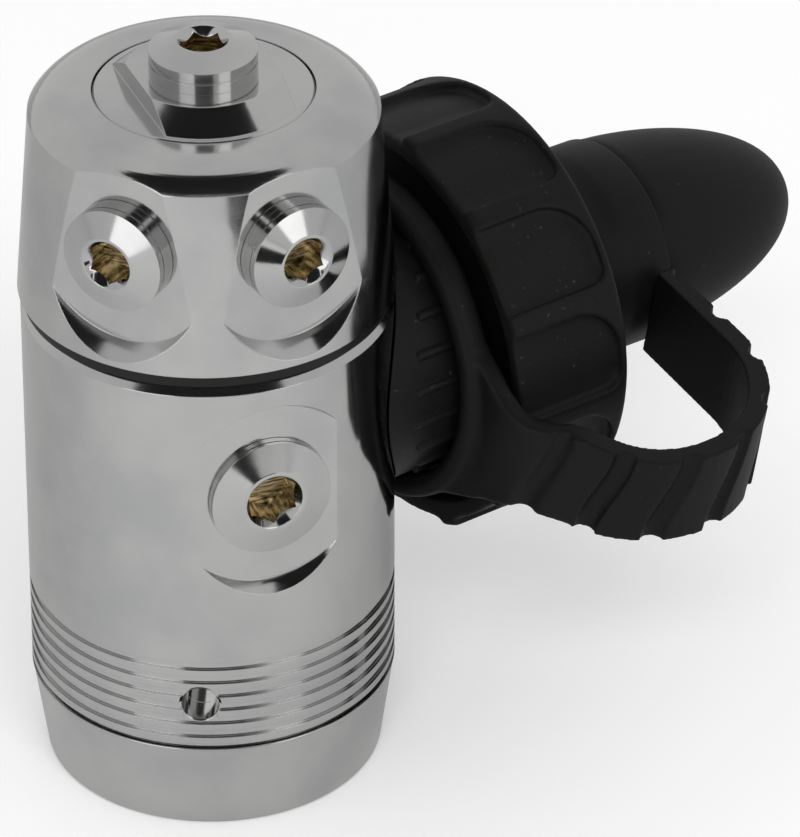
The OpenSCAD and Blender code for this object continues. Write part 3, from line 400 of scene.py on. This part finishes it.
def grip(name, rough=0.5):
    """Moulded black plastic, dulled and dusty from use."""
    skin = Finish(name, specular_ior_level=0.12)
    grain = skin.noise(0.00028, detail=3)
    dust = skin.noise(0.0007, detail=6)
    wear = skin.noise(0.008, detail=4)
    black = skin.blend(wear, (0.0048, 0.0043, 0.0041, 1), (0.0090, 0.0082, 0.0079, 1))
    skin.feed(base_color=skin.blend(skin.span(dust, 0.66, 0.76), black, (0.035, 0.033, 0.031, 1)),
              roughness=rough - 0.08 + 0.16 * wear,
              normal=skin.relief(grain, 0.00003, 0.5, skin.soft_edges(0.0003)))
    return skin


def arc(x, y, r, a0, a1, steps):
    angles = [math.radians(a0 + (a1 - a0) * i / steps) for i in range(steps + 1)]
    return [(x + r * math.cos(a), y + r * math.sin(a)) for a in angles]


def smooth(piece):
    for face in piece.data.polygons:
        face.use_smooth = True


grip_plastic = grip("grip_plastic")
collar_plastic = grip("collar_plastic", 0.38)
inlet = facing(0, 48.2)

collar = turned("inlet_collar", [
    (8.55, 8), (17.3, 8), (17.5, 8.2), (17.5, 26.2), (17.2, 26.5), (10.35, 26.5),
    (10.35, 21.5), (8.55, 21.5), (8.55, 8)], 160)
for radius, height, lift in ((22.15, 60, 15.6), (22.7, 40, -34.4)):      # the body, the turret
    cut(collar, cylinder(256, radius, height, (lift, 0, 0), (0, math.pi / 2, 0)))

RIB_COUNT, FIRST_RIB, RIB_STEP = 25, 4.2, 14.4      # the angles are in degrees
RIB_RING, SADDLE, RIB_END, RIB_L, RIB_R = 17.4, 24.6, 26.3, 10, 0.6
rib_places = []
for i in range(RIB_COUNT):
    angle = math.radians(FIRST_RIB + RIB_STEP * i)
    start = math.sqrt(SADDLE ** 2 - (RIB_RING * math.sin(angle)) ** 2)
    rib_places.append(Matrix.Rotation(angle, 4, "Z")
                      @ Matrix.Translation((RIB_RING / 1000, 0, start / 1000))
                      @ Matrix.Diagonal((1, 1, (RIB_END - start) / RIB_L, 1)))
rib = turned("rib", arc(0, RIB_R, RIB_R, -90, 0, 6) + arc(0, RIB_L - RIB_R, RIB_R, 0, 90, 6), 16)
ribs = joined("ribs", rib, rib_places)
pick(ribs, collar)
bpy.ops.object.join()
bpy.ops.object.shade_smooth_by_angle(angle=math.radians(35))
collar.data.transform(inlet)
collar.data.materials.append(collar_plastic.material)
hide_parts("inlet_collar")
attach(collar, "stage")

wheel = turned("handwheel", [
    (13, 27.6), (14.5, 27.6), (14.5, 29.8), (22.8, 29.8), (23.2, 27.3), (25.6, 27.3),
    (26.16, 27.53), (26.4, 28.1), (26.4, 42.0), (26.16, 42.57), (25.6, 42.8), (13, 42.8),
    (13, 27.6)], 180)


def pocket_cutter():
    """One finger pocket's block: open at the back, one corner round, the other nearly square."""
    bpy.ops.object.select_all(action="DESELECT")
    bpy.ops.mesh.primitive_cube_add(size=0.001, location=(0.027, 0, 0.0332))
    block = bpy.context.object
    bpy.ops.transform.resize(value=(4, 10.8, 17))
    bpy.ops.object.transform_apply(location=True, rotation=True, scale=True)
    for side, radius in ((-1, 6.0), (1, 2.0)):
        bpy.ops.object.mode_set(mode="EDIT")
        bpy.ops.mesh.select_all(action="DESELECT")
        bpy.ops.object.mode_set(mode="OBJECT")
        corner = [v.index for v in block.data.vertices
                  if v.co.z > 0.0415 and v.co.y * side > 0.0053]
        for edge in block.data.edges:
            edge.select = edge.vertices[0] in corner and edge.vertices[1] in corner
        bpy.ops.object.mode_set(mode="EDIT")
        bpy.ops.mesh.select_mode(type="EDGE")
        bpy.ops.mesh.bevel(offset=radius / 1000, segments=10, affect="EDGES")
        bpy.ops.object.mode_set(mode="OBJECT")
    return block


POCKET_COUNT, FIRST_POCKET, POCKET_FLOOR_R = 12, -90 - 24.3, 25.2
POCKET_STEP = 360 / POCKET_COUNT
pocket_turns = [math.radians(FIRST_POCKET - POCKET_STEP * (i + 0.5)) for i in range(POCKET_COUNT)]
pockets = joined("pockets", pocket_cutter(),
                 [Matrix.Rotation(turn, 4, "Z") for turn in pocket_turns])
cut(pockets, cylinder(180, POCKET_FLOOR_R, 40, (0, 0, 35)))
cut(wheel, pockets)
modify(wheel, "REMESH", mode="VOXEL", voxel_size=0.00029)
modify(wheel, "SMOOTH", factor=0.5, iterations=7)
wheel.data.transform(inlet)
smooth(wheel)
wheel.data.materials.append(grip_plastic.material)
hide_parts("handwheel")
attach(wheel, "handwheel")


# ---- Dust cap and its strap -------------------------------------------------------------
# One moulding of soft black rubber: a ring round the collar, a strap with S-shaped grip
# grooves, and the hollow cap that is pushed over the coupling.

def soft_rubber(name):
    """Black moulding rubber: matt and smooth, with specks of dust in its skin."""
    skin = Finish(name, specular_ior_level=0.12)
    bloom = skin.noise(0.009, detail=5)
    dust = skin.noise(0.0006, detail=6)
    black = skin.blend(bloom, (0.0045, 0.0040, 0.0039, 1), (0.0090, 0.0080, 0.0078, 1))
    skin.feed(base_color=skin.blend(skin.span(dust, 0.68, 0.78), black, (0.03, 0.028, 0.026, 1)),
              roughness=0.38 + 0.2 * bloom,
              normal=skin.relief(0.4 * dust + skin.noise(0.0002), 0.00003, 0.3))
    return skin


cap_rubber = soft_rubber("cap_rubber")


def rubber_piece(piece, place, node, body=None):
    """Puts a finished rubber moulding where its solid is."""
    piece.data.transform(place)
    smooth(piece)
    piece.data.materials.append(cap_rubber.material)
    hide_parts(node)
    if body:
        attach(piece, body)


def poly_curve(name, points):
    """A curve object with straight runs between points in metres."""
    data = bpy.data.curves.new(name, "CURVE")
    data.dimensions = "3D"
    run = data.splines.new("POLY")
    run.points.add(len(points) - 1)
    for point, place in zip(run.points, points):
        point.co = (*place, 1)
    made = bpy.data.objects.new(name, data)
    bpy.context.scene.collection.objects.link(made)
    return made


NOSE_R, NOSE_START, NOSE_L = 12.8, 59.8, 26.6
rises = [math.sin(math.radians(3 * i)) for i in range(30)]
nose = [(NOSE_R * (1 - rise ** 1.7) ** (1 / 2.3), NOSE_START + NOSE_L * rise) for rise in rises]
cap = turned("dust_cap", [(11.75, 44.5), (12.1, 44.15)]
             + arc(13.0, 44.9, 0.8, -90, 0, 6) + arc(13.0, 46.8, 0.8, 0, 60, 4)
             + [(12.75, 48.5), (12.6, 49.2), (12.6, 52.0), (12.75, 52.9), (13.05, 53.9),
                (13.1, 54.6), (13.1, 59.35), (13.02, 59.6), (12.78, 59.68), (12.74, 59.74)]
             + nose + [(0, 86.4)]
             + [(0, 79), (5.7, 79), (9.9, 71.9), (10.5, 66.5), (10.5, 58.6), (11.75, 57.8),
                (11.75, 44.5)], 160)
for v in cap.data.vertices:      # the soft nose hangs a little
    v.co.x += 0.05 * max(0.0, v.co.z - 0.057)
rubber_piece(cap, inlet, "dust_cap", "dust_cap")

ring = turned("strap_ring", arc(19.5, 24.0, 1.2, 180, 270, 5) + arc(20.1, 24.0, 1.2, 270, 360, 5)
              + arc(20.1, 25.5, 1.2, 0, 90, 5) + arc(19.5, 25.5, 1.2, 90, 180, 5)
              + [(18.3, 24.0)], 160)

# The strap is shaped and grooved flat, then laid along its line and grown into the ring.
# Its line is in millimetres: out from the inlet's axis, and along it
line = ([(25.3, 20.9)] + arc(25.3 + 8, 24.31, 8, 180, 144, 6)
        + arc(43.2, 27.04, 14.4, 144, 0, 24) + [(57.6, 13.3)])
length = sum(math.dist(a, b) for a, b in zip(line, line[1:]))
STRAP_W, STRAP_T = 12.6, 0.0026
ROOT_L, RING_R = 0.0085, 0.0209
bpy.ops.object.select_all(action="DESELECT")
bpy.ops.mesh.primitive_grid_add(x_subdivisions=160, y_subdivisions=20, size=0.001,
                                location=(length / 2000, 0, 0))
strap = bpy.context.object
strap.name = strap.data.name = "strap"
bpy.ops.transform.resize(value=(length, STRAP_W, 1))
bpy.ops.object.transform_apply(location=True, rotation=True, scale=True)
for v in strap.data.vertices:    # the root spreads and follows the ring's round
    near = max(0.0, 1 - v.co.x / ROOT_L)
    v.co.y *= 1 + (1.15 if v.co.y > 0 else 0.75) * near ** 2
    if v.co.y < 0:
        v.co.y *= 1 + 0.16 * math.exp(-((v.co.x - 0.013) / 0.006) ** 2)
    v.co.x -= near ** 1.5 * (RING_R - math.sqrt(RING_R ** 2 - v.co.y ** 2))
modify(strap, "SOLIDIFY", thickness=STRAP_T, offset=0)

GROOVE_COUNT, FIRST_GROOVE, GROOVE_PITCH = 9, 9.9, 7.6
shares = [i / 24 - 0.5 for i in range(25)]
groove = poly_curve("groove", [(-0.0016 * math.sin(t * 6.5), t * 0.03, 0) for t in shares])
groove.data.bevel_depth, groove.data.bevel_resolution = 0.0013, 4
groove.data.use_fill_caps = True
pick(groove)
bpy.ops.object.convert(target="MESH")
grooves = joined("grooves", bpy.context.object, [
    Matrix.Translation(((FIRST_GROOVE + GROOVE_PITCH * i) / 1000, 0, 0.00135))
    @ Matrix.Diagonal((1, 1, 0.8, 1)) for i in range(GROOVE_COUNT)])
cut(strap, grooves)

course = poly_curve("course", [(x / 1000, 0, reach / 1000) for x, reach in line])
strap.data.transform(Matrix.Rotation(-math.pi / 2, 4, "X"))
modify(strap, "CURVE", object=course, deform_axis="POS_X")
bpy.data.objects.remove(course)
swing = Matrix(((0, 0, 1, 0), (0, 1, 0, 0), (1, 0, 0, 0), (0, 0, 0, 1)))
STRAP_TURN = math.radians(-78)
strap.data.transform(Matrix.Rotation(STRAP_TURN, 4, "Z") @ swing)
pick(ring, strap)
bpy.ops.object.join()
modify(strap, "REMESH", mode="VOXEL", voxel_size=0.0002)
modify(strap, "SMOOTH", factor=0.5, iterations=2)
root = strap.vertex_groups.new(name="root")
aim = Vector((math.cos(STRAP_TURN), math.sin(STRAP_TURN)))
for v in strap.data.vertices:    # only where the strap leaves the ring
    out = Vector(v.co[:2])
    if v.co.z < 0.0295 and out.length > 0.0198 and out.normalized().dot(aim) > 0.55:
        root.add([v.index], min(1, (out.normalized().dot(aim) - 0.55) * 6), "REPLACE")
modify(strap, "SMOOTH", factor=0.5, iterations=80, vertex_group="root")
rubber_piece(strap, inlet, "strap")
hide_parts("strap_ring")
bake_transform(strap)


# ---- Floor, light and camera ------------------------------------------------------------
# A pale table in an even, soft studio, with one big softbox over the camera. A black flag
# over the set and a few white and black cards give the chrome its bright and dark lines.

def grey(level):
    return (level, level, level, 1)


def sheet(name, size, finish, location=(0, 0, 0)):
    """A flat piece of the studio, level until it is placed."""
    bpy.ops.object.select_all(action="DESELECT")
    bpy.ops.mesh.primitive_plane_add(size=size, location=location)
    made = bpy.context.object
    made.name = name
    made.data.materials.append(finish.material)
    return made


toward = Vector((-0.5669, -0.8238, 0))      # level, from the object to the camera
aside = Vector((0.8238, -0.5669, 0))        # level, to the camera's right
floor_finish = Finish("table_top")
spot = floor_finish.node("ShaderNodeTexCoord", out="Object")
apart = floor_finish.node("ShaderNodeSeparateXYZ", None, {"Vector": spot})
px, py = (Wire(floor_finish, apart.socket.node.outputs[i]) for i in (0, 1))
away = floor_finish.node("ShaderNodeVectorMath", {"operation": "LENGTH"}, {0: spot}, 1)
camera_side = (toward.x * px + toward.y * py) / away
# What the chrome mirrors of the table is painted reflection shading: darker away from the camera's
# side and lighter towards it. To all other rays the table is evenly pale.
painted_reflection_falloff = floor_finish.blend(floor_finish.span(camera_side, -0.9, 0.9), grey(0.58), grey(0.86))
ray = floor_finish.node("ShaderNodeLightPath")
glossy = Wire(floor_finish, ray.socket.node.outputs["Is Glossy Ray"])
floor_finish.feed(base_color=floor_finish.blend(glossy, grey(0.93), painted_reflection_falloff), roughness=0.7,
                  emission_color=(1, 1, 1, 1), emission_strength=0.13 * ray)
table_top = sheet("table_top", 8, floor_finish, (0, 0, -0.0001))

world = bpy.data.worlds.new("studio")
world.use_nodes = True
bpy.context.scene.world = world
air = world.node_tree.nodes["Background"]
air.inputs["Color"].default_value = (1, 1, 1, 1)
air.inputs["Strength"].default_value = 0.74

flag_finish = Finish("black_flag", base_color=(0.008, 0.008, 0.009, 1), roughness=1.0)
flag = sheet("black_flag", 1, flag_finish)
square_on = Matrix(((toward.x, aside.x, 0, 0), (toward.y, aside.y, 0, 0), (0, 0, 1, 0), (0, 0, 0, 1)))
flag.matrix_world = (Matrix.Translation(toward * 0.74 + Vector((0, 0, 1.05))) @ square_on
                     @ Matrix.Diagonal((1.3, 1.34, 1, 1)))
flag.visible_camera = flag.visible_diffuse = flag.visible_shadow = False


def card(name, turn, rise, far, width, height, glow):
    """A white or black card that only the chrome mirrors. Its angles are in degrees, seen
    from the object, and turn counts from the camera's side."""
    turn, rise = math.radians(turn), math.radians(rise)
    level = toward * math.cos(turn) + aside * math.sin(turn)
    aim = level * math.cos(rise) + Vector((0, 0, math.sin(rise)))
    wide, tall = (2 * far * math.tan(math.radians(angle / 2)) for angle in (width, height))
    made = sheet(name, 1, Finish(name, base_color=grey(0.008), roughness=1.0,
                                 emission_color=(1, 1, 1, 1), emission_strength=glow))
    made.data.transform(Matrix.Translation(aim * far + Vector((0, 0, 0.07)))
                        @ aim.to_track_quat("Z", "Y").to_matrix().to_4x4()
                        @ Matrix.Diagonal((wide, tall, 1, 1)))
    made.visible_camera = made.visible_diffuse = made.visible_shadow = False


card("white_card_right", 45, 20, 0.5, 22, 32, 1.9)
card("white_card_left", -35, 14, 0.5, 29, 44, 1.9)
card("black_card_low", 24, -10.8, 0.2, 22, 12.8, 0.0)
card("black_card_front", -1, 30, 0.6, 36, 8, 0.0)
card("white_strip", 0, 35.6, 0.6, 60, 2.4, 1.9)

softbox = bpy.data.lights.new("softbox", "AREA")
softbox.shape, softbox.size, softbox.size_y, softbox.energy = "RECTANGLE", 0.9, 0.33, 6
key = bpy.data.objects.new("softbox", softbox)
bpy.context.scene.collection.objects.link(key)
key_rise, key_far, middle_z = math.radians(43.5), 1.2, 0.06
key.location = ((toward * math.cos(key_rise) + aside * 0.1) * key_far
                + Vector((0, 0, key_far * math.sin(key_rise) + middle_z)))
key.visible_glossy = False
key.rotation_euler = (key.location - Vector((0, 0, middle_z))).to_track_quat("Z", "Y").to_euler()

lens = bpy.data.cameras.new("camera")
lens.lens, lens.sensor_width, lens.clip_start = 295, 36, 0.01
camera = bpy.data.objects.new("camera", lens)
bpy.context.scene.collection.objects.link(camera)
camera.location = (-0.3906, -0.5677, 0.4822)
camera.rotation_euler = Vector((0.5010, 0.6792, -0.5363)).to_track_quat("-Z", "Y").to_euler()
bpy.context.scene.camera = camera
bpy.context.scene.view_settings.view_transform = "Standard"
